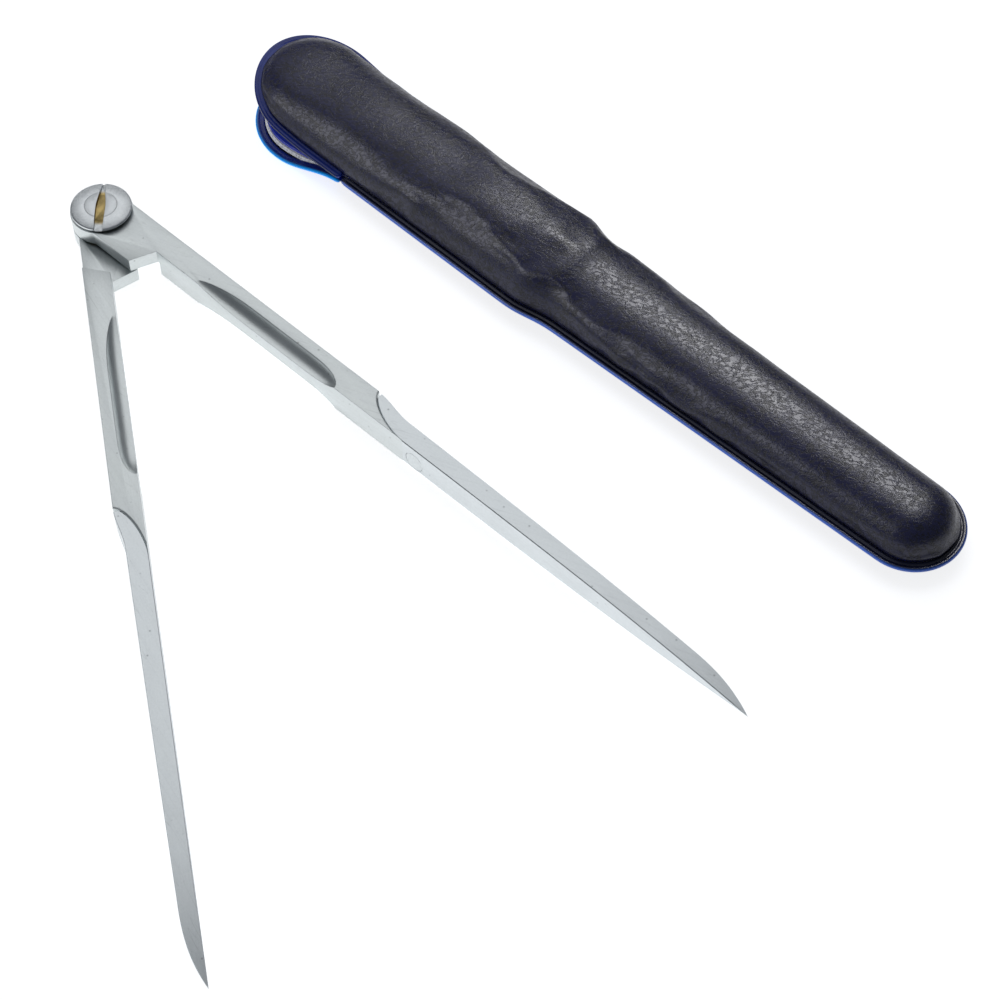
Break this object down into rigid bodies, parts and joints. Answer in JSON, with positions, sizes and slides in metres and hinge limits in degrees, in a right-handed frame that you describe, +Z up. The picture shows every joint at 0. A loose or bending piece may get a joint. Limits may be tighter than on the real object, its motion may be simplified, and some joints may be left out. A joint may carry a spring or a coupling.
{
  "type": "drafting dividers with slip pouch",
  "caption": "Plain metal drafting dividers with a slotted friction joint, lying beside a padded navy leatherette slip pouch.",
  "frame": {"origin": "middle of the set's footprint, on the surface it lies on", "axes": "+X along the pouch from its mouth to its closed end and nearly along the right leg, +Z up"},
  "size_m": [0.1612, 0.1478, 0.0128],
  "materials": {
    "satin_nickel": "satin plated",
    "point_steel": "satin",
    "brass": "turned",
    "navy_leatherette": "glossy crackle grain",
    "foam": "matte",
    "blue_vinyl": "glossy"
  },
  "bodies": {
    "pouch": {"front_cover": "navy_leatherette", "front_padding": "foam", "front_lining": "blue_vinyl", "back_cover": "navy_leatherette", "back_padding": "foam", "back_lining": "blue_vinyl", "welded_rim": "blue_vinyl", "back_lip_edging": "blue_vinyl"},
    "front_lip": {"front_lip_cover": "navy_leatherette", "front_lip_padding": "foam", "front_lip_lining": "blue_vinyl", "front_lip_edging": "blue_vinyl"},
    "right_arm": {"right_leg": "satin_nickel", "right_point": "point_steel", "right_point_rivet": "point_steel", "spring_washer": "point_steel"},
    "left_arm": {"left_leg": "satin_nickel", "left_point": "point_steel", "left_point_rivet": "point_steel", "pivot_nut": "point_steel", "pivot_bush": "brass", "friction_washer": "brass"},
    "pivot_head": {"head_collar": "satin_nickel", "pivot_screw": "brass"}
  },
  "joints": [
    {"name": "mouth_bend", "type": "hinge", "parent": "pouch", "child": "front_lip", "pos_m": [-0.05065, 0.0603, 0.0128], "axis": [0, 1, 0], "range_deg": [0, 25]},
    {"name": "divider_lift", "type": "slide", "parent": "pouch", "child": "right_arm", "axis": [0, 0, 1], "range_m": [0, 0.12]},
    {"name": "leg_spread", "type": "hinge", "parent": "right_arm", "child": "left_arm", "pos_m": [-0.07495, 0.0133, 0.003], "axis": [0, 0, 1], "range_deg": [-144, 35.7]},
    {"name": "head_turn", "type": "hinge", "parent": "right_arm", "child": "pivot_head", "pos_m": [-0.07495, 0.0133, 0.0065], "axis": [0, 0, 1], "range_deg": [-90, 90]}
  ]
}
